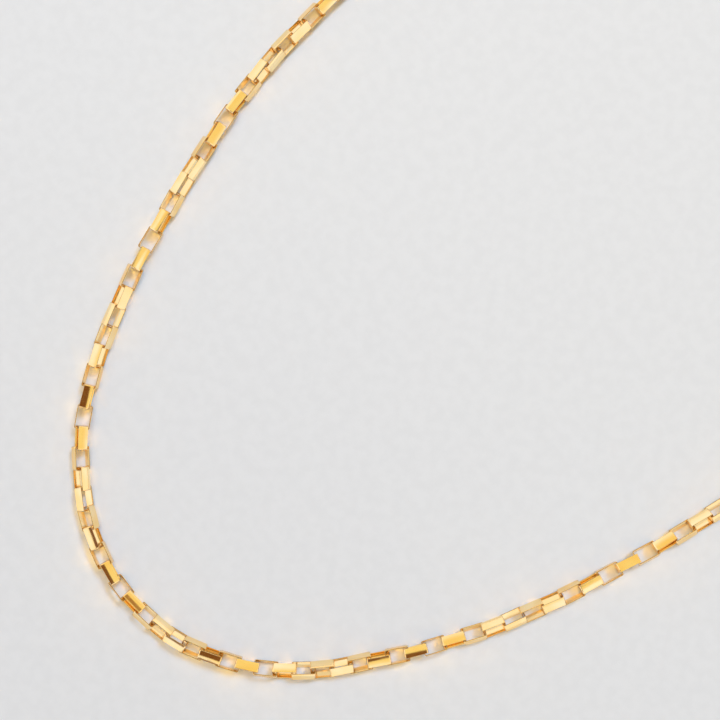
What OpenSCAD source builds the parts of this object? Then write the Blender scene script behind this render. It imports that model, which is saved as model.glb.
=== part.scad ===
// Elongated box chain necklace, laid out flat as a closed loop.
// Every link is a flat strip bent into a long rectangular loop. Neighbouring links are turned
// 90 degrees to each other, and the end wall of each one stands inside the opening of the next.
// The loop lies on z = 0, with the clasp at the back (+Y) and the front of the necklace at -Y.

/* [Link] */
// Outside length of a link, along the chain
link_len = 3.95; // [3.95:0.05:4.1]
// Outside width of a link, across its opening
link_w = 2.45; // [2.45:0.05:2.65]
// Width of the flat strip that a link is bent from
strip_w = 1.5; // [1.4:0.05:1.5]
// Thickness of the strip
strip_t = 0.15; // [0.12:0.01:0.15]
// Outside radius of the bent corners
bend_r = 0.25; // [0.2:0.01:0.25]

/* [Clasp] */
// Thickness of the clasp's body
clasp_t = 2.4; // [2.2:0.1:2.6]
// Thickness of the two eyes
eye_t = 1.5; // [1.2:0.1:1.6]
// Radius of the hole in each eye
eye_hole_r = 1.3; // [1.25:0.05:1.4]
// Width of metal round each hole
eye_rim = 0.75; // [0.6:0.05:0.8]
// Distance between the centres of the two holes
eye_spacing = 6.6; // [6.4:0.1:7]
// Width of the clasp's body
clasp_w = 3.4; // [3:0.1:4]

/* [Hidden] */

gold = [0.93, 0.74, 0.36];

// Links in the loop, an odd number, so that both end links stand upright in the clasp
link_count = 133;

// Route of the loop as laid, counterclockwise from the middle of the clasp
ROUTE = [
    [5, 117], [-21, 110.5], [-41, 92], [-49, 62], [-48.5, 33], [-46, 14.5], [-40.5, -4.5],
    [-32, -25.5], [-20, -43], [-3.5, -53], [14.5, -53], [30, -43.5], [40, -28.5], [48, -10.5],
    [53.5, 10.5], [57, 32], [58.5, 62], [51, 92], [31, 110.5]
];
// Straight pieces in each span between two route points
span_steps = 12;

// Distance from joint to joint, shorter where the chain lies slack: link number, distance
PITCH = [
    [0, 3.39], [32, 3.39], [34, 3.12], [41, 3.12], [44, 3.48], [53, 3.48], [58, 3.38],
    [65, 3.12], [82, 3.12], [85, 3.48], [98, 3.48], [102, 3.3], [132, 3.3]
];

// Turn of the chain about its own line: link number, roll in degrees
ROLL = [
    [0, 0], [28, 0], [36, -55], [44, -150], [52, -245], [60, -330],
    [68, -415], [77, -510], [88, -605], [97, -680], [108, -720], [132, -720]
];

// Rise of the chain's line from lying square to lying on its edges: link number, share
LIFT = [[0, 0], [24, 0], [30, 1], [106, 1], [112, 0], [132, 0]];

// Each link also lies a little askew in its neighbours, by up to these angles
askew_roll = 0.4;
askew_turn = 0.3;
askew_tip = 0.3;

// Gap between the end wall of an end link and the edge of the eye that it stands in
eye_clear = 0.25;

// Points in each bent corner of a link, outside and inside
bend_points = 4;
inner_bend_points = 3;

// The loop's line, as points and as the distance along it to each point
spans = len(ROUTE);
function route_point(i) = ROUTE[(i + spans) % spans];
function blend(a, b, c, d, t) =
    (2 * b + (c - a) * t + (2 * a - 5 * b + 4 * c - d) * t * t
     + (3 * b - a - 3 * c + d) * t * t * t) / 2;
LINE = [
    for (i = [0 : spans - 1], s = [0 : span_steps - 1])
        blend(route_point(i - 1), route_point(i), route_point(i + 1), route_point(i + 2),
              s / span_steps),
    ROUTE[0]
];
function running_sum(v) =
    [for (i = 0, s = 0; i <= len(v); s = s + (i < len(v) ? v[i] : 0), i = i + 1) s];
ALONG = running_sum([for (i = [1 : len(LINE) - 1]) norm(LINE[i] - LINE[i - 1])]);
loop_len = ALONG[len(ALONG) - 1];
LINE_X = [for (i = [0 : len(LINE) - 1]) [ALONG[i], LINE[i].x]];
LINE_Y = [for (i = [0 : len(LINE) - 1]) [ALONG[i], LINE[i].y]];
function line_at(s) = [lookup(s, LINE_X), lookup(s, LINE_Y)];

// Distance from the middle of the clasp to the middle of an end link
end_reach = eye_spacing / 2 + sqrt(pow(eye_hole_r, 2) - pow(strip_w / 2, 2)) - eye_clear
            + link_len / 2 - strip_t;

// Joints along the line: the pitch table is stretched a little so that the loop closes exactly
TABLE_PITCH = [for (i = [0 : link_count - 1]) lookup(i, PITCH)];
TABLE_SUM = running_sum(TABLE_PITCH);
table_reach = TABLE_SUM[link_count] - (TABLE_PITCH[0] + TABLE_PITCH[link_count - 1]) / 2;
stretch = (loop_len - 2 * end_reach) / table_reach;
JOINT_S = [for (s = TABLE_SUM) end_reach + (s - TABLE_PITCH[0] / 2) * stretch];

// Height of the chain's line: half a link's width where it lies square, and half its diagonal
// where it turns, because there its links rest on their edges
square_z = link_w / 2;
diagonal_z = norm([link_w, strip_w]) / 2;
function line_z(i) = square_z + lookup(i, LIFT) * (diagonal_z - square_z);
JOINT = [
    for (j = [0 : link_count])
        concat(line_at(JOINT_S[j]), line_z(j - 0.5))
];

// Place of link i: its middle, and its turn, tip and roll in degrees
function wobble(i, k) = sin(137 * k * i);
function middle(i) = (JOINT[i] + JOINT[i + 1]) / 2;
function stride(i) = JOINT[i + 1] - JOINT[i];
function turn(i) = atan2(stride(i).y, stride(i).x) + askew_turn * wobble(i, 2);
function tip(i) = askew_tip * wobble(i, 3) - asin(stride(i).z / norm(stride(i)));
function roll(i) = lookup(i, ROLL) + (i % 2 == 0 ? 90 : 0) + askew_roll * wobble(i, 1);

// A point of link i, carried to its place in the loop
function rolled(p, a) = [p.x, p.y * cos(a) - p.z * sin(a), p.y * sin(a) + p.z * cos(a)];
function tipped(p, a) = [p.x * cos(a) + p.z * sin(a), p.y, p.z * cos(a) - p.x * sin(a)];
function turned(p, a) = [p.x * cos(a) - p.y * sin(a), p.x * sin(a) + p.y * cos(a), p.z];
function placed(p, i) = middle(i) + turned(tipped(rolled(p, roll(i)), tip(i)), turn(i));

// Outline with round corners, as points
function corner(x, y, r, from, n) = [
    for (k = [0 : n - 1])
        let (a = from + 90 * k / (n - 1))
        [x + r * cos(a), y + r * sin(a)]
];
function round_box(l, w, r, n) = concat(
    corner(l / 2 - r, w / 2 - r, r, 0, n), corner(r - l / 2, w / 2 - r, r, 90, n),
    corner(r - l / 2, r - w / 2, r, 180, n), corner(l / 2 - r, r - w / 2, r, 270, n)
);

// Reach of the whole loop, whose middle goes to the origin and whose lowest point to z = 0
CORNERS = [
    for (i = [0 : link_count - 1], p = round_box(link_len, link_w, bend_r, bend_points),
         side = [-0.5, 0.5])
        placed([p.x, p.y, side * strip_w], i)
];
clasp_line = line_at(loop_len - 0.5) - line_at(0.5);
clasp_turn = atan2(clasp_line.y, clasp_line.x);
clasp_top = ROUTE[0].y + abs(sin(clasp_turn)) * eye_spacing / 2 + eye_hole_r + eye_rim;
low_x = min([for (p = CORNERS) p.x]);
high_x = max([for (p = CORNERS) p.x]);
low_y = min([for (p = CORNERS) p.y]);
high_y = max(clasp_top, max([for (p = CORNERS) p.y]));
low_z = min([for (p = CORNERS) p.z]);
centre = [(low_x + high_x) / 2, (low_y + high_y) / 2, low_z];

// One link, its length along X and its opening facing Z
module link() {
    linear_extrude(strip_w, center = true)
        difference() {
            polygon(round_box(link_len, link_w, bend_r, bend_points));
            polygon(round_box(link_len - 2 * strip_t, link_w - 2 * strip_t,
                              bend_r - strip_t, inner_bend_points));
        }
}

// All the links of the loop, each interlocked with the next
module chain() {
    color(gold)
        for (i = [0 : link_count - 1])
            translate(middle(i) - centre)
                rotate([0, tip(i), turn(i)])
                    rotate([roll(i), 0, 0])
                        link();
}

// The clasp, closed: a thick body between two thinner eyes, resting on the floor
module clasp() {
    $fn = 48;
    color(gold)
        translate([ROUTE[0].x - centre.x, ROUTE[0].y - centre.y, clasp_t / 2])
            rotate([0, 0, clasp_turn])
                difference() {
                    union() {
                        for (side = [-0.5, 0.5])
                            translate([side * eye_spacing, 0, 0])
                                cylinder(h = eye_t, r = eye_hole_r + eye_rim, center = true);
                        cube([eye_spacing - 2 * eye_hole_r, clasp_w, clasp_t], center = true);
                    }
                    for (side = [-0.5, 0.5])
                        translate([side * eye_spacing, 0, 0])
                            cylinder(h = clasp_t + 1, r = eye_hole_r, center = true);
                }
}

chain();
clasp();
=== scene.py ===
"""Elongated box chain necklace, dressed for a high-key studio picture from straight above."""

import logging
import math
from bisect import bisect_right
from dataclasses import dataclass
from enum import Enum, IntEnum
from typing import Iterable, Sequence, Union

import bmesh
import bpy
from mathutils import Matrix, Vector


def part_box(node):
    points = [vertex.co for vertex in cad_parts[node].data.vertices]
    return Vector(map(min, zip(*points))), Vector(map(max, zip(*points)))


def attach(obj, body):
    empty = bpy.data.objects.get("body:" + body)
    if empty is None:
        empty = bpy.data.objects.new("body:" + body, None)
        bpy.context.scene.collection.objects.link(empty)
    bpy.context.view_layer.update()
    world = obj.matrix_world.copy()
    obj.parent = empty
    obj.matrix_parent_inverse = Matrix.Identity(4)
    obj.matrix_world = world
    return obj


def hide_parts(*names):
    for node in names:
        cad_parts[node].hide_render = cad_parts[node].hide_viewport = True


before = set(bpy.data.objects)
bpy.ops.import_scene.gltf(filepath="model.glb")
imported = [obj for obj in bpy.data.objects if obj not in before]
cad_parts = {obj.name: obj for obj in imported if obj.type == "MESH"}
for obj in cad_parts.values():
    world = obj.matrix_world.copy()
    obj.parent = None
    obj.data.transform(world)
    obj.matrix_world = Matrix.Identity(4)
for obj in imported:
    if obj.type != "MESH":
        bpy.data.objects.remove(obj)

LOG = logging.getLogger("necklace")

MM = 0.001
UV_MAP = "strip"
SQUARE_TO_Z = 0.9  # the least Z of a unit normal that counts as pointing up or down
FLAT_FACES_LEAD = 100  # lets the large flat faces rule the smooth shading, not the bevels

Point = tuple[float, float]
Colour = tuple[float, float, float]


def lookup(key: float, table: Sequence[Point]) -> float:
    """Reads a table of rising keys, with straight lines between its rows.

    Args:
        key: The value to look up.
        table: Rows of key and value.

    Returns:
        The value at the key, or that of the nearest end.
    """
    place = bisect_right([row[0] for row in table], key)
    if place == 0:
        return table[0][1]
    if place == len(table):
        return table[-1][1]
    (low, first), (high, last) = table[place - 1], table[place]
    return first + (last - first) * (key - low) / (high - low)


class Lie(Enum):
    """Which way a link lies where the chain has no roll, as a turn about its length in degrees."""

    OPENING_UP = 0.0
    PLATE_UP = 90.0


class LinkFace(IntEnum):
    """The two kinds of face on a link, numbered as its materials are."""

    PLATE = 0
    RIM = 1


class MixSocket(IntEnum):
    """Places of a Mix node's sockets for colours, which cannot be told apart by name."""

    SHARE = 0
    LOW = 6
    HIGH = 7
    RESULT = 2


@dataclass(frozen=True)
class LinkSize:
    """Sizes of one link, in millimetres."""

    length: float = 3.95
    width: float = 2.45
    strip: float = 1.5  # the strip's width, which is the link's depth
    thickness: float = 0.15
    bend: float = 0.25  # outer radius of the four corners
    bend_steps: int = 3
    edge: float = 0.025  # bevel along the strip's edges
    edge_steps: int = 1
    weld: float = 0.0025
    uv_step: float = 10.0  # between the links' UV maps, so that no two have the same marks


@dataclass(frozen=True)
class ClaspSize:
    """Sizes of the clasp, in millimetres."""

    body_thickness: float = 2.4
    body_width: float = 3.4
    eye_thickness: float = 1.5
    hole: float = 1.3  # radius of the eyes' holes
    rim: float = 0.75  # from the hole to the eye's outside
    spacing: float = 6.6  # between the middles of the eyes
    body_edge: float = 0.35
    eye_edge: float = 0.2
    edge_steps: int = 3
    weld: float = 0.005
    turns: int = 48


@dataclass(frozen=True)
class Lay:
    """How the necklace lies, in millimetres and degrees.

    The route holds the points of the loop's line. The other tables go by the number of the link:
    pitch is the step from joint to joint, roll the turn about the chain's own line, and lift how
    far the line is raised, from 0 where links lie square to 1 where they stand on a corner.
    """

    link_count: int = 133
    span_steps: int = 12  # points of the line from one point of the route to the next
    eye_clear: float = 0.25  # between an end link and the rim of its eye
    askew_roll: float = 1.0
    askew_turn: float = 2.0
    askew_tip: float = 0.6
    askew_step: int = 137  # an angle from link to link, whose sine sets how askew each lies
    clasp_aim: float = 0.5  # how far to each side of the clasp's middle its direction is read
    route: tuple[Point, ...] = (
        (5, 117), (-21, 110.5), (-41, 92), (-49, 62), (-48.5, 33), (-46, 14.5), (-40.5, -4.5),
        (-32, -25.5), (-20, -43), (-3.5, -53), (14.5, -53), (30, -43.5), (40, -28.5),
        (48, -10.5), (53.5, 10.5), (57, 32), (58.5, 62), (51, 92), (31, 110.5),
    )
    pitch: tuple[Point, ...] = (
        (0, 3.39), (32, 3.39), (34, 3.12), (41, 3.12), (44, 3.48), (53, 3.48), (58, 3.38),
        (65, 3.12), (82, 3.12), (85, 3.48), (98, 3.48), (102, 3.3), (132, 3.3),
    )
    roll: tuple[Point, ...] = (
        (0, 0), (28, 0), (36, -55), (44, -150), (52, -245), (60, -330),
        (68, -415), (77, -510), (88, -605), (97, -680), (108, -720), (132, -720),
    )
    lift: tuple[Point, ...] = ((0, 0), (24, 0), (30, 1), (106, 1), (112, 0), (132, 0))


class Loop:
    """Places every link along the loop, by the solids' rules but a little more askew."""

    def __init__(self, lay: Lay, link: LinkSize, clasp: ClaspSize) -> None:
        """Works out the line of the loop and the joints along it.

        Args:
            lay: How the necklace lies.
            link: Sizes of a link.
            clasp: Sizes of the clasp.
        """
        self.lay = lay
        self.link = link
        self.clasp = clasp
        self.line = self._line()
        self.along = self._running_sum(
            [(b - a).length for a, b in zip(self.line, self.line[1:])])
        self.joints = self._joints()

    @staticmethod
    def _running_sum(steps: Iterable[float]) -> list[float]:
        """Adds up steps.

        Args:
            steps: The steps in order.

        Returns:
            The sum before each step and after the last.
        """
        sums = [0.0]
        for step in steps:
            sums.append(sums[-1] + step)
        return sums

    def _line(self) -> list[Vector]:
        """Draws the loop's line as cubic spans, smooth where they meet.

        Returns:
            Points of the closed line through the route's points, with the first again at the end.
        """
        points = [Vector(p) for p in self.lay.route]
        count = len(points)
        line = []
        for i in range(count):
            a, b, c, d = (points[(i + k) % count] for k in (-1, 0, 1, 2))
            for s in range(self.lay.span_steps):
                t = s / self.lay.span_steps
                line.append((2 * b + (c - a) * t + (2 * a - 5 * b + 4 * c - d) * t * t
                             + (3 * b - a - 3 * c + d) * t ** 3) / 2)
        return line + [points[0]]

    def at(self, distance: float) -> Vector:
        """Finds a point of the line.

        Args:
            distance: How far along the line it is.

        Returns:
            The point.
        """
        place = min(bisect_right(self.along, distance), len(self.along) - 1)
        low, high = self.along[place - 1], self.along[place]
        share = (distance - low) / (high - low)
        return self.line[place - 1].lerp(self.line[place], share)

    def _joints(self) -> list[Vector]:
        """Steps along the line from one eye of the clasp to the other.

        Returns:
            The joints between the links, with the pitch stretched to close the loop.
        """
        half_strip = self.link.strip / 2
        end_reach = (self.clasp.spacing / 2 + math.sqrt(self.clasp.hole ** 2 - half_strip ** 2)
                     - self.lay.eye_clear + self.link.length / 2 - self.link.thickness)
        pitch = [lookup(i, self.lay.pitch) for i in range(self.lay.link_count)]
        sums = self._running_sum(pitch)
        table_reach = sums[-1] - (pitch[0] + pitch[-1]) / 2
        stretch = (self.along[-1] - 2 * end_reach) / table_reach
        square = self.link.width / 2
        diagonal = math.hypot(self.link.width, self.link.strip) / 2
        joints = []
        for j, before in enumerate(sums):
            x, y = self.at(end_reach + (before - pitch[0] / 2) * stretch)
            rise = lookup(j - 0.5, self.lay.lift)
            joints.append(Vector((x, y, square + rise * (diagonal - square))))
        return joints

    def _wobble(self, i: int, k: int) -> float:
        """Returns a fixed number from -1 to 1 for link i and its angle k."""
        return math.sin(math.radians(self.lay.askew_step * k * i))

    def matrix(self, i: int) -> Matrix:
        """Places one link between its two joints.

        Args:
            i: The link's number, from 0.

        Returns:
            Its place and turn, in millimetres.
        """
        start, end = self.joints[i], self.joints[i + 1]
        stride = end - start
        lie = Lie.PLATE_UP if i % 2 == 0 else Lie.OPENING_UP
        turn = (math.degrees(math.atan2(stride.y, stride.x))
                + self.lay.askew_turn * self._wobble(i, 2))
        tip = (self.lay.askew_tip * self._wobble(i, 3)
               - math.degrees(math.asin(stride.z / stride.length)))
        roll = lookup(i, self.lay.roll) + lie.value + self.lay.askew_roll * self._wobble(i, 1)
        return (Matrix.Translation((start + end) / 2)
                @ Matrix.Rotation(math.radians(turn), 4, "Z")
                @ Matrix.Rotation(math.radians(tip), 4, "Y")
                @ Matrix.Rotation(math.radians(roll), 4, "X"))

    def clasp_turn(self) -> float:
        """Returns the direction of the clasp about the vertical, in radians."""
        across = self.at(self.along[-1] - self.lay.clasp_aim) - self.at(self.lay.clasp_aim)
        return math.atan2(across.y, across.x)


@dataclass(frozen=True)
class Grain:
    """A noise on a surface, and the range of it that a ramp spreads from 0 to 1."""

    cells: tuple[float, float, float]  # how many to a unit of X, Y and Z
    detail: float
    low: float = 0.0
    high: float = 1.0


class Shade:
    """One output socket of a shader graph, with the sums that materials are written in."""

    def __init__(self, tree: bpy.types.NodeTree, socket: bpy.types.NodeSocket) -> None:
        """Keeps the graph and the socket."""
        self.tree = tree
        self.socket = socket

    @staticmethod
    def node(tree: bpy.types.NodeTree, kind: str, settings: dict | None = None,
             inputs: dict | None = None) -> bpy.types.Node:
        """Adds one node.

        Args:
            tree: The graph.
            kind: The node's type.
            settings: Properties of the node, which are set first.
            inputs: Values or links of its sockets, by name or number.

        Returns:
            The new node.
        """
        made = tree.nodes.new(kind)
        for name, value in (settings or {}).items():
            setattr(made, name, value)
        for name, value in (inputs or {}).items():
            if isinstance(value, Shade):
                tree.links.new(value.socket, made.inputs[name])
            else:
                made.inputs[name].default_value = value
        return made

    def _math(self, operation: str, *values: Union["Shade", float]) -> "Shade":
        """Adds a Math node on this graph and returns its result."""
        made = Shade.node(self.tree, "ShaderNodeMath", {"operation": operation},
                          dict(enumerate(values)))
        return Shade(self.tree, made.outputs[0])

    def __add__(self, other: Union["Shade", float]) -> "Shade":
        """Returns the sum."""
        return self._math("ADD", self, other)

    def __radd__(self, other: float) -> "Shade":
        """Returns the sum, with the number first."""
        return self._math("ADD", other, self)

    def __sub__(self, other: Union["Shade", float]) -> "Shade":
        """Returns the difference."""
        return self._math("SUBTRACT", self, other)

    def __rsub__(self, other: float) -> "Shade":
        """Returns the difference, with the number first."""
        return self._math("SUBTRACT", other, self)

    def __mul__(self, other: Union["Shade", float]) -> "Shade":
        """Returns the product."""
        return self._math("MULTIPLY", self, other)

    def __rmul__(self, other: float) -> "Shade":
        """Returns the product, with the number first."""
        return self._math("MULTIPLY", other, self)

    def ramp(self, low: float, high: float) -> "Shade":
        """Returns a smooth rise from 0 at low to 1 at high."""
        made = Shade.node(self.tree, "ShaderNodeMapRange",
                          {"interpolation_type": "SMOOTHSTEP"},
                          {"Value": self, "From Min": low, "From Max": high})
        return Shade(self.tree, made.outputs[0])

    def noise(self, grain: Grain) -> "Shade":
        """Adds noise on this vector.

        Args:
            grain: The noise's cells and detail.

        Returns:
            The noise, not yet spread out by a ramp.
        """
        placed = Shade.node(self.tree, "ShaderNodeMapping", None,
                            {"Vector": self, "Scale": grain.cells})
        made = Shade.node(self.tree, "ShaderNodeTexNoise", None,
                          {"Vector": Shade(self.tree, placed.outputs[0]), "Scale": 1.0,
                           "Detail": grain.detail})
        return Shade(self.tree, made.outputs[0])

    def spread_noise(self, grain: Grain) -> "Shade":
        """Returns noise on this vector, spread from 0 to 1 by the grain's range."""
        return self.noise(grain).ramp(grain.low, grain.high)

    def part(self, axis: str) -> "Shade":
        """Returns one coordinate, X, Y or Z, of this vector."""
        made = Shade.node(self.tree, "ShaderNodeSeparateXYZ", None, {"Vector": self})
        return Shade(self.tree, made.outputs[axis])

    def along(self, direction: Vector) -> "Shade":
        """Returns how far this vector points along a direction, from -1 to 1."""
        made = Shade.node(self.tree, "ShaderNodeVectorMath", {"operation": "DOT_PRODUCT"},
                          {0: self, 1: tuple(direction)})
        return Shade(self.tree, made.outputs["Value"])

    def blend(self, low: Union["Shade", Colour], high: Union["Shade", Colour]) -> "Shade":
        """Returns a colour between two, by this share."""
        made = Shade.node(self.tree, "ShaderNodeMix", {"data_type": "RGBA"}, {
            MixSocket.SHARE: self,
            MixSocket.LOW: low if isinstance(low, Shade) else (*low, 1.0),
            MixSocket.HIGH: high if isinstance(high, Shade) else (*high, 1.0)})
        return Shade(self.tree, made.outputs[MixSocket.RESULT])


def new_graph(name: str) -> tuple[bpy.types.Material, bpy.types.NodeTree]:
    """Makes an empty node material.

    Args:
        name: The material's name.

    Returns:
        The material and its graph, which holds an output node alone.
    """
    material = bpy.data.materials.new(name)
    material.use_nodes = True
    tree = material.node_tree
    tree.nodes.clear()
    tree.nodes.new("ShaderNodeOutputMaterial")
    return material, tree


def close_graph(tree: bpy.types.NodeTree, surface: bpy.types.Node) -> None:
    """Joins a surface node to the graph's output."""
    out = next(n for n in tree.nodes if n.type == "OUTPUT_MATERIAL")
    tree.links.new(surface.outputs[0], out.inputs["Surface"])


def strip_uv(tree: bpy.types.NodeTree) -> Shade:
    """Returns the strip's UV map, in millimetres, as a vector of the graph."""
    return Shade(tree, Shade.node(tree, "ShaderNodeUVMap", {"uv_map": UV_MAP}).outputs[0])


@dataclass(frozen=True)
class PolishedGold:
    """Yellow gold plate, rolled bright: faint rolling lines, a low crown and hand marks."""

    name: str = "polished_gold"
    light: Colour = (1.0, 0.79, 0.44)
    deep: Colour = (1.0, 0.71, 0.31)
    graze: Colour = (1.0, 0.8, 0.58)
    roughness: float = 0.07
    smudge: float = 0.08
    lacquer: float = 0.3
    lacquer_ior: float = 1.7
    crown: float = 0.085
    wave: float = 0.012
    lines: float = 0.0008
    tones: Grain = Grain((0.22, 0.3, 1.0), 1.0, 0.35, 0.65)
    smears: Grain = Grain((0.8, 1.6, 1.0), 3.0, 0.4, 0.75)
    waviness: Grain = Grain((0.35, 0.5, 1.0), 1.0)
    rolling: Grain = Grain((0.6, 30.0, 1.0), 2.0)

    def material(self) -> bpy.types.Material:
        """Builds the material, which follows the strip by its UV map in millimetres.

        Returns:
            The material.
        """
        material, tree = new_graph(self.name)
        uv = strip_uv(tree)
        across = uv.part("Y")
        height = (uv.noise(self.waviness) * self.wave + uv.noise(self.rolling) * self.lines
                  - across * across * self.crown)
        bump = Shade.node(tree, "ShaderNodeBump", None,
                          {"Strength": 1.0, "Distance": MM, "Height": height})
        surface = Shade.node(tree, "ShaderNodeBsdfPrincipled", None, {
            "Base Color": uv.spread_noise(self.tones).blend(self.light, self.deep),
            "Metallic": 1.0,
            "Roughness": uv.spread_noise(self.smears) * self.smudge + self.roughness,
            "Specular Tint": (*self.graze, 1.0),
            "Coat Weight": self.lacquer, "Coat IOR": self.lacquer_ior,
            "Coat Roughness": self.roughness,
            "Normal": Shade(tree, bump.outputs[0])})
        close_graph(tree, surface)
        return material


@dataclass(frozen=True)
class ShearedEdgeShade:
    """The cut edge of the strip, duller than its faces, with painted shade: its deep brown stands
    in for the shade along the strip's edges.
    """

    name: str = "sheared_edge_painted_shade"
    # painted shade: light and deep are browns that darken the cut edges, in place of shade and
    # dark reflection, not the metal's own colour
    light: Colour = (0.68, 0.46, 0.18)
    deep: Colour = (0.38, 0.23, 0.08)
    roughness: float = 0.22
    harshness: float = 0.12
    marks: Grain = Grain((6.0, 1.0, 1.0), 2.0, 0.3, 0.7)

    def material(self) -> bpy.types.Material:
        """Builds the material, with the short marks of the cut across the edge.

        Returns:
            The material.
        """
        material, tree = new_graph(self.name)
        marks = strip_uv(tree).noise(self.marks)
        tone = marks.ramp(self.marks.low, self.marks.high)
        surface = Shade.node(tree, "ShaderNodeBsdfPrincipled", None, {
            "Base Color": tone.blend(self.light, self.deep), "Metallic": 1.0,
            "Roughness": marks * self.harshness + self.roughness})
        close_graph(tree, surface)
        return material


@dataclass(frozen=True)
class PaleCard:
    """The pale card that the necklace lies on."""

    name: str = "pale_card"
    light: Colour = (0.756, 0.76, 0.773)
    dim: Colour = (0.732, 0.736, 0.749)
    roughness: float = 0.35
    specular: float = 0.5
    mottle: Grain = Grain((500.0, 500.0, 500.0), 3.0, 0.3, 0.7)

    def material(self) -> bpy.types.Material:
        """Builds the material, with the card's faint mottle.

        Returns:
            The material.
        """
        material, tree = new_graph(self.name)
        place = Shade(tree, Shade.node(tree, "ShaderNodeTexCoord").outputs["Object"])
        surface = Shade.node(tree, "ShaderNodeBsdfPrincipled", None, {
            "Base Color": place.spread_noise(self.mottle).blend(self.light, self.dim),
            "Roughness": self.roughness, "Specular IOR Level": self.specular})
        close_graph(tree, surface)
        return material


def lay_strip_uv(mesh: bmesh.types.BMesh) -> None:
    """Lays a UV map in millimetres: U runs along the strip, and V across it.

    Args:
        mesh: A piece in its own place, in millimetres, with the strip's width along Z.
    """
    layer = mesh.loops.layers.uv.new(UV_MAP)
    for face in mesh.faces:
        for corner in face.loops:
            spot = corner.vert.co
            corner[layer].uv = (spot.x + spot.y, spot.z)


def finish_piece(mesh: bmesh.types.BMesh, name: str,
                 finishes: Sequence[bpy.types.Material], node: str) -> bpy.types.Object:
    """Turns a mesh in metres into a piece that rides on the part and stands for a node.

    Args:
        mesh: The finished mesh, which is freed.
        name: The piece's name.
        finishes: The piece's materials, in the order of their numbers.
        node: The node that the piece replaces.

    Returns:
        The new object.
    """
    data = bpy.data.meshes.new(name)
    mesh.to_mesh(data)
    mesh.free()
    for face in data.polygons:
        face.use_smooth = True
    for finish in finishes:
        data.materials.append(finish)
    piece = bpy.data.objects.new(name, data)
    bpy.context.scene.collection.objects.link(piece)
    weighted = piece.modifiers.new("weighted_normals", "WEIGHTED_NORMAL")
    weighted.weight = FLAT_FACES_LEAD
    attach(piece, "root")
    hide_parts(node)
    LOG.info("%s: %d faces", name, len(data.polygons))
    return piece


@dataclass
class Chain:
    """All the links of the loop."""

    loop: Loop
    size: LinkSize

    def link_mesh(self) -> bpy.types.Mesh:
        """Models one link, its length along X and its opening facing Z.

        Returns:
            The link, in millimetres.
        """
        mesh = bmesh.new()
        bmesh.ops.create_cube(mesh, size=1.0)
        bmesh.ops.scale(mesh, vec=(self.size.length, self.size.width, self.size.strip),
                        verts=mesh.verts)
        open_sides = [f for f in mesh.faces if abs(f.normal.z) > SQUARE_TO_Z]
        bmesh.ops.delete(mesh, geom=open_sides, context="FACES_ONLY")
        corners = [e for e in mesh.edges if len(e.link_faces) == 2]
        bmesh.ops.bevel(mesh, geom=corners, affect="EDGES", offset=self.size.bend,
                        segments=self.size.bend_steps, profile=0.5, material=-1)
        bmesh.ops.solidify(mesh, geom=mesh.faces[:], thickness=self.size.thickness)
        bmesh.ops.remove_doubles(mesh, verts=mesh.verts, dist=self.size.weld)
        bmesh.ops.recalc_face_normals(mesh, faces=mesh.faces)
        rims = {f for f in mesh.faces if abs(f.normal.z) > SQUARE_TO_Z}
        for face in rims:
            face.material_index = LinkFace.RIM
        long_edges = [e for e in mesh.edges if len(rims.intersection(e.link_faces)) == 1]
        bmesh.ops.bevel(mesh, geom=long_edges, affect="EDGES", offset=self.size.edge,
                        segments=self.size.edge_steps, profile=0.5, material=LinkFace.PLATE)
        lay_strip_uv(mesh)
        data = bpy.data.meshes.new("link")
        mesh.to_mesh(data)
        mesh.free()
        return data

    def build(self, finishes: Sequence[bpy.types.Material]) -> tuple[bpy.types.Object, Vector]:
        """Builds the whole chain where its solids are.

        Args:
            finishes: The face and the edge material.

        Returns:
            The piece, and the step in millimetres from the route's own places to the part's.
        """
        link = self.link_mesh()
        mesh = bmesh.new()
        for i in range(self.loop.lay.link_count):
            done_verts, done_faces = len(mesh.verts), len(mesh.faces)
            mesh.from_mesh(link)
            mesh.verts.ensure_lookup_table()
            mesh.faces.ensure_lookup_table()
            bmesh.ops.transform(mesh, matrix=self.loop.matrix(i), verts=mesh.verts[done_verts:])
            layer = mesh.loops.layers.uv[UV_MAP]
            for face in mesh.faces[done_faces:]:
                for corner in face.loops:
                    corner[layer].uv.x += self.size.uv_step * i
        bpy.data.meshes.remove(link)
        step = self._step_to_solids(mesh)
        bmesh.ops.translate(mesh, vec=step, verts=mesh.verts)
        bmesh.ops.scale(mesh, vec=(MM, MM, MM), verts=mesh.verts)
        return finish_piece(mesh, "box_links", finishes, "chain"), step

    @staticmethod
    def _step_to_solids(mesh: bmesh.types.BMesh) -> Vector:
        """Measures how far the links are from where their solids are.

        Args:
            mesh: All the links, in millimetres.

        Returns:
            The step from the middle of their box to that of the solids' box.
        """
        low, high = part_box("chain")
        spots = [v.co for v in mesh.verts]
        step = Vector((0.0, 0.0, 0.0))
        for axis in range(3):
            own = (min(s[axis] for s in spots) + max(s[axis] for s in spots)) / 2
            step[axis] = (low[axis] + high[axis]) / 2 / MM - own
        return step


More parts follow.
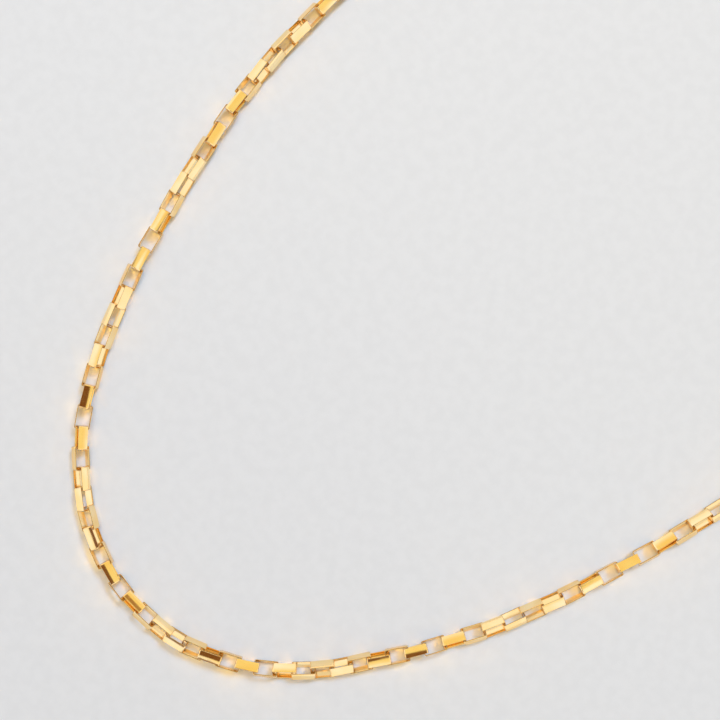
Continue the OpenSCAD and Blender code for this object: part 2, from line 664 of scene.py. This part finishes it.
@dataclass
class Clasp:
    """The closed clasp: a thick body between two thinner eyes."""

    loop: Loop
    size: ClaspSize

    def _eye(self, x: float) -> bmesh.types.BMesh:
        """Models one round eye, turned from a rounded section about its own axis.

        Args:
            x: Where its middle is along the clasp.

        Returns:
            The eye's closed shell.
        """
        mesh = bmesh.new()
        bmesh.ops.create_grid(mesh, x_segments=1, y_segments=1, size=0.5)
        bmesh.ops.scale(mesh, vec=(self.size.rim, self.size.eye_thickness, 1.0),
                        verts=mesh.verts)
        bmesh.ops.bevel(mesh, geom=mesh.verts[:], affect="VERTICES", offset=self.size.eye_edge,
                        segments=self.size.edge_steps, profile=0.5, material=-1)
        bmesh.ops.rotate(mesh, cent=(0, 0, 0), verts=mesh.verts,
                         matrix=Matrix.Rotation(math.radians(90), 3, "X"))
        bmesh.ops.translate(mesh, verts=mesh.verts,
                            vec=(self.size.hole + self.size.rim / 2, 0, 0))
        bmesh.ops.delete(mesh, geom=mesh.faces[:], context="FACES_ONLY")
        bmesh.ops.spin(mesh, geom=mesh.edges[:], cent=(0, 0, 0), axis=(0, 0, 1),
                       angle=math.tau, steps=self.size.turns, use_merge=True)
        bmesh.ops.recalc_face_normals(mesh, faces=mesh.faces)
        bmesh.ops.translate(mesh, vec=(x, 0, 0), verts=mesh.verts)
        return mesh

    def _body(self) -> bmesh.types.BMesh:
        """Models the body, a rounded block that reaches from hole to hole.

        Returns:
            The body's closed shell.
        """
        mesh = bmesh.new()
        bmesh.ops.create_cube(mesh, size=1.0)
        length = self.size.spacing - 2 * self.size.hole
        bmesh.ops.scale(mesh, verts=mesh.verts,
                        vec=(length, self.size.body_width, self.size.body_thickness))
        bmesh.ops.bevel(mesh, geom=mesh.edges[:], affect="EDGES", offset=self.size.body_edge,
                        segments=self.size.edge_steps, profile=0.5, material=-1)
        return mesh

    def _joined(self, shells: Sequence[bmesh.types.BMesh]) -> bmesh.types.BMesh:
        """Joins closed shells into one, and welds the slivers along the seams between them.

        Args:
            shells: The shells, which are freed.

        Returns:
            The outside of them all.
        """
        pieces = []
        for shell in shells:
            data = bpy.data.meshes.new("shell")
            shell.to_mesh(data)
            shell.free()
            pieces.append(bpy.data.objects.new("shell", data))
            bpy.context.scene.collection.objects.link(pieces[-1])
        for other in pieces[1:]:
            union = pieces[0].modifiers.new("union", "BOOLEAN")
            union.operation = "UNION"
            union.object = other
        joined = bmesh.new()
        joined.from_object(pieces[0], bpy.context.evaluated_depsgraph_get())
        for piece in pieces:
            data = piece.data
            bpy.data.objects.remove(piece)
            bpy.data.meshes.remove(data)
        self._put_in_order(joined)
        bmesh.ops.remove_doubles(joined, verts=joined.verts, dist=self.size.weld)
        return joined

    @staticmethod
    def _put_in_order(mesh: bmesh.types.BMesh) -> None:
        """Sorts a mesh by its places, because a union gives them in another order each run.

        Args:
            mesh: The mesh whose corners, edges and faces are sorted.
        """
        for parts in (mesh.verts, mesh.edges, mesh.faces):
            places = {part: sorted(tuple(v.co) for v in getattr(part, "verts", [part]))
                      for part in parts}
            ranks = {part: rank for rank, part in enumerate(sorted(parts, key=places.get))}
            parts.sort(key=ranks.get)
            parts.index_update()

    def build(self, step: Vector, finish: bpy.types.Material) -> bpy.types.Object:
        """Builds the clasp where its solid is.

        Args:
            step: The step from the route's own places to the part's, in millimetres.
            finish: The clasp's material.

        Returns:
            The piece.
        """
        mesh = self._joined([self._body(), self._eye(-self.size.spacing / 2),
                             self._eye(self.size.spacing / 2)])
        lay_strip_uv(mesh)
        middle = Vector(self.loop.lay.route[0]).to_3d() + Vector((step.x, step.y, 0.0))
        middle.z = self.size.body_thickness / 2
        place = Matrix.Translation(middle) @ Matrix.Rotation(self.loop.clasp_turn(), 4, "Z")
        bmesh.ops.transform(mesh, matrix=place, verts=mesh.verts)
        bmesh.ops.scale(mesh, vec=(MM, MM, MM), verts=mesh.verts)
        return finish_piece(mesh, "plain_clasp", [finish], "clasp")


@dataclass(frozen=True)
class Patch:
    """A round patch of the studio's walls and ceiling, placed by degrees from the zenith."""

    right: float
    up: float
    radius: float
    softness: float
    shade: Colour


@dataclass(frozen=True)
class Lamp:
    """A soft square lamp that the gold does not show, placed by degrees from the zenith."""

    name: str
    right: float
    up: float
    size: float
    distance: float
    watts: float


@dataclass(frozen=True)
class FarLamp:
    """A far soft cool lamp that the gold does not show, and that lights the whole floor alike."""

    right: float = 24.0
    up: float = 31.0
    spread: float = 15.0
    strength: float = 1.485  # watts a square metre
    tint: Colour = (0.185, 0.528, 1.0)


@dataclass
class Studio:
    """Floor, light and camera, with sizes in millimetres but for the floor's, in metres.

    Right and up are those of the picture. The room and its cards are what the gold shows. The
    fill is the floor's own light, and the bounce and glows are what reaches it off the gold.
    """

    focal_length: float = 50.0
    sensor_width: float = 36.0
    clip_start: float = 5.0
    camera_height: float = 164.5
    picture_turn: float = 50.0
    floor_size: float = 3.0
    backdrop: Colour = (0.52, 0.52, 0.53)
    room: Colour = (1.09, 1.08, 1.09)
    cards: tuple[Patch, ...] = (
        Patch(10.0, 12.0, 34.0, 20.0, (0.98, 0.82, 0.38)),
        Patch(-10.0, -9.0, 14.0, 3.0, (0.2, 0.085, 0.028)),
        Patch(-24.0, -42.0, 10.0, 4.0, (0.24, 0.12, 0.05)),
        Patch(17.0, -17.0, 7.0, 3.0, (1.15, 1.12, 1.08)),
        Patch(-20.0, 22.0, 8.0, 3.0, (1.15, 1.12, 1.08)),
        Patch(30.0, 26.0, 5.0, 3.0, (0.4, 0.23, 0.09)),
    )
    fill: Colour = (0.551, 0.423, 0.246)
    bounce: Colour = (0.05, 0.2, 0.8)
    glows: tuple[Patch, ...] = (
        Patch(0.0, 0.0, 18.0, 10.0, (7.0, 5.5, 2.6)),
        Patch(-33.0, -33.0, 26.0, 12.0, (12.5, 9.6, 1.3)),
    )
    lamps: tuple[Lamp, ...] = (
        Lamp("overhead", -1.0, 17.0, 250.0, 520.0, 0.88),
        Lamp("key", 24.0, 31.0, 230.0, 900.0, 1.29),
    )
    far_lamp: FarLamp = FarLamp()

    def direction(self, right: float, up: float) -> Vector:
        """Finds the way to a spot overhead.

        Args:
            right: Degrees from the zenith to the picture's right.
            up: Degrees from the zenith to the picture's top.

        Returns:
            The way as a unit vector.
        """
        away = math.radians(math.hypot(right, up))
        around = math.atan2(up, right) + math.radians(self.picture_turn)
        return Vector((math.sin(away) * math.cos(around), math.sin(away) * math.sin(around),
                       math.cos(away)))

    def build_floor(self, finish: bpy.types.Material) -> None:
        """Lays the floor under the necklace.

        Args:
            finish: The floor's material.
        """
        mesh = bmesh.new()
        bmesh.ops.create_grid(mesh, x_segments=1, y_segments=1, size=self.floor_size / 2)
        data = bpy.data.meshes.new("floor")
        mesh.to_mesh(data)
        mesh.free()
        data.materials.append(finish)
        floor = bpy.data.objects.new("floor", data)
        bpy.context.scene.collection.objects.link(floor)
        LOG.info("floor: %.1f m wide", self.floor_size)

    def _patched(self, way: Shade, shade: Union[Shade, Colour],
                 patches: Sequence[Patch]) -> Shade:
        """Lays round patches over a shade.

        Args:
            way: The way out of the scene.
            shade: The shade under the patches.
            patches: The patches, the lowest first.

        Returns:
            The colour for every way out.
        """
        for patch in patches:
            near = way.along(self.direction(patch.right, patch.up))
            outer = math.cos(math.radians(patch.radius + patch.softness))
            inner = math.cos(math.radians(patch.radius))
            shade = near.ramp(outer, inner).blend(shade, patch.shade)
        return shade

    def build_room(self) -> None:
        """Surrounds the scene with the room that the gold shows.

        In its place the floor gets a plain fill, and the bounce and glows by way of the gold. The
        fill is warm and the far lamp cool, so the lit floor is neutral and the shadow is cream.
        Past the floor's end the camera sees a plain backdrop.
        """
        world = bpy.data.worlds.new("studio")
        bpy.context.scene.world = world
        world.use_nodes = True
        tree = world.node_tree
        tree.nodes.clear()
        way = Shade(tree, Shade.node(tree, "ShaderNodeTexCoord").outputs["Generated"])
        rays = Shade.node(tree, "ShaderNodeLightPath")
        from_floor = Shade(tree, rays.outputs["Diffuse Depth"]).ramp(0.0, 1.0)
        off_gold = Shade(tree, rays.outputs["Is Glossy Ray"])
        lit = off_gold.blend(self.fill, self._patched(way, self.bounce, self.glows))
        shade = from_floor.blend(self._patched(way, self.room, self.cards), lit)
        seen = Shade(tree, rays.outputs["Is Camera Ray"])
        shade = seen.blend(shade, self.backdrop)
        background = Shade.node(tree, "ShaderNodeBackground", None, {"Color": shade})
        out = tree.nodes.new("ShaderNodeOutputWorld")
        tree.links.new(background.outputs[0], out.inputs["Surface"])
        LOG.info("room: %d cards", len(self.cards))

    @staticmethod
    def _hang(data: bpy.types.Light, way: Vector, spot: Vector) -> None:
        """Hangs a lamp that the gold does not show.

        Args:
            data: The lamp, which gives the object its name.
            way: The way from the floor to the lamp.
            spot: The lamp's place.
        """
        light = bpy.data.objects.new(data.name, data)
        light.location = spot
        light.rotation_euler = way.to_track_quat("Z", "Y").to_euler()
        light.visible_glossy = False
        bpy.context.scene.collection.objects.link(light)

    def build_lamp(self, lamp: Lamp, target: Vector) -> None:
        """Hangs one near lamp.

        Args:
            lamp: The lamp.
            target: The picture's middle, which it faces.
        """
        way = self.direction(lamp.right, lamp.up)
        data = bpy.data.lights.new(lamp.name, "AREA")
        data.size = lamp.size * MM
        data.energy = lamp.watts
        self._hang(data, way, target + way * lamp.distance * MM)
        LOG.info("%s lamp: %.2f W", lamp.name, lamp.watts)

    def build_far_lamp(self) -> None:
        """Hangs the far lamp, whose cool light and the warm fill make neutral together."""
        data = bpy.data.lights.new("far", "SUN")
        data.angle = math.radians(self.far_lamp.spread)
        data.energy = self.far_lamp.strength
        data.color = self.far_lamp.tint
        self._hang(data, self.direction(self.far_lamp.right, self.far_lamp.up),
                   Vector((0.0, 0.0, 0.0)))
        LOG.info("far lamp: %.2f W a square metre", self.far_lamp.strength)

    def build_camera(self, target: Vector) -> None:
        """Hangs the camera straight above the picture's middle.

        Args:
            target: The picture's middle.
        """
        data = bpy.data.cameras.new("camera")
        data.lens = self.focal_length
        data.sensor_width = self.sensor_width
        data.clip_start = self.clip_start * MM
        camera = bpy.data.objects.new("camera", data)
        camera.location = target + Vector((0.0, 0.0, self.camera_height * MM))
        camera.rotation_euler = (0.0, 0.0, math.radians(self.picture_turn))
        bpy.context.scene.collection.objects.link(camera)
        bpy.context.scene.camera = camera
        LOG.info("camera: %.1f mm above the chain", self.camera_height)

    def build(self, target: Vector) -> None:
        """Builds the whole studio.

        Args:
            target: The picture's middle.
        """
        bpy.context.scene.view_settings.view_transform = "Standard"
        self.build_floor(PaleCard().material())
        self.build_room()
        for lamp in self.lamps:
            self.build_lamp(lamp, target)
        self.build_far_lamp()
        self.build_camera(target)


def main() -> None:
    """Builds the necklace and the studio, and reports each piece."""
    logging.basicConfig(level=logging.INFO, format="%(message)s")
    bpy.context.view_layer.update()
    link_size, clasp_size = LinkSize(), ClaspSize()
    loop = Loop(Lay(), link_size, clasp_size)
    gold = PolishedGold().material()
    _, step = Chain(loop, link_size).build([gold, ShearedEdgeShade().material()])
    Clasp(loop, clasp_size).build(step, gold)
    Studio().build(Vector((step.x * MM, step.y * MM, loop.joints[0].z * MM)))


if __name__ == "__main__":
    main()
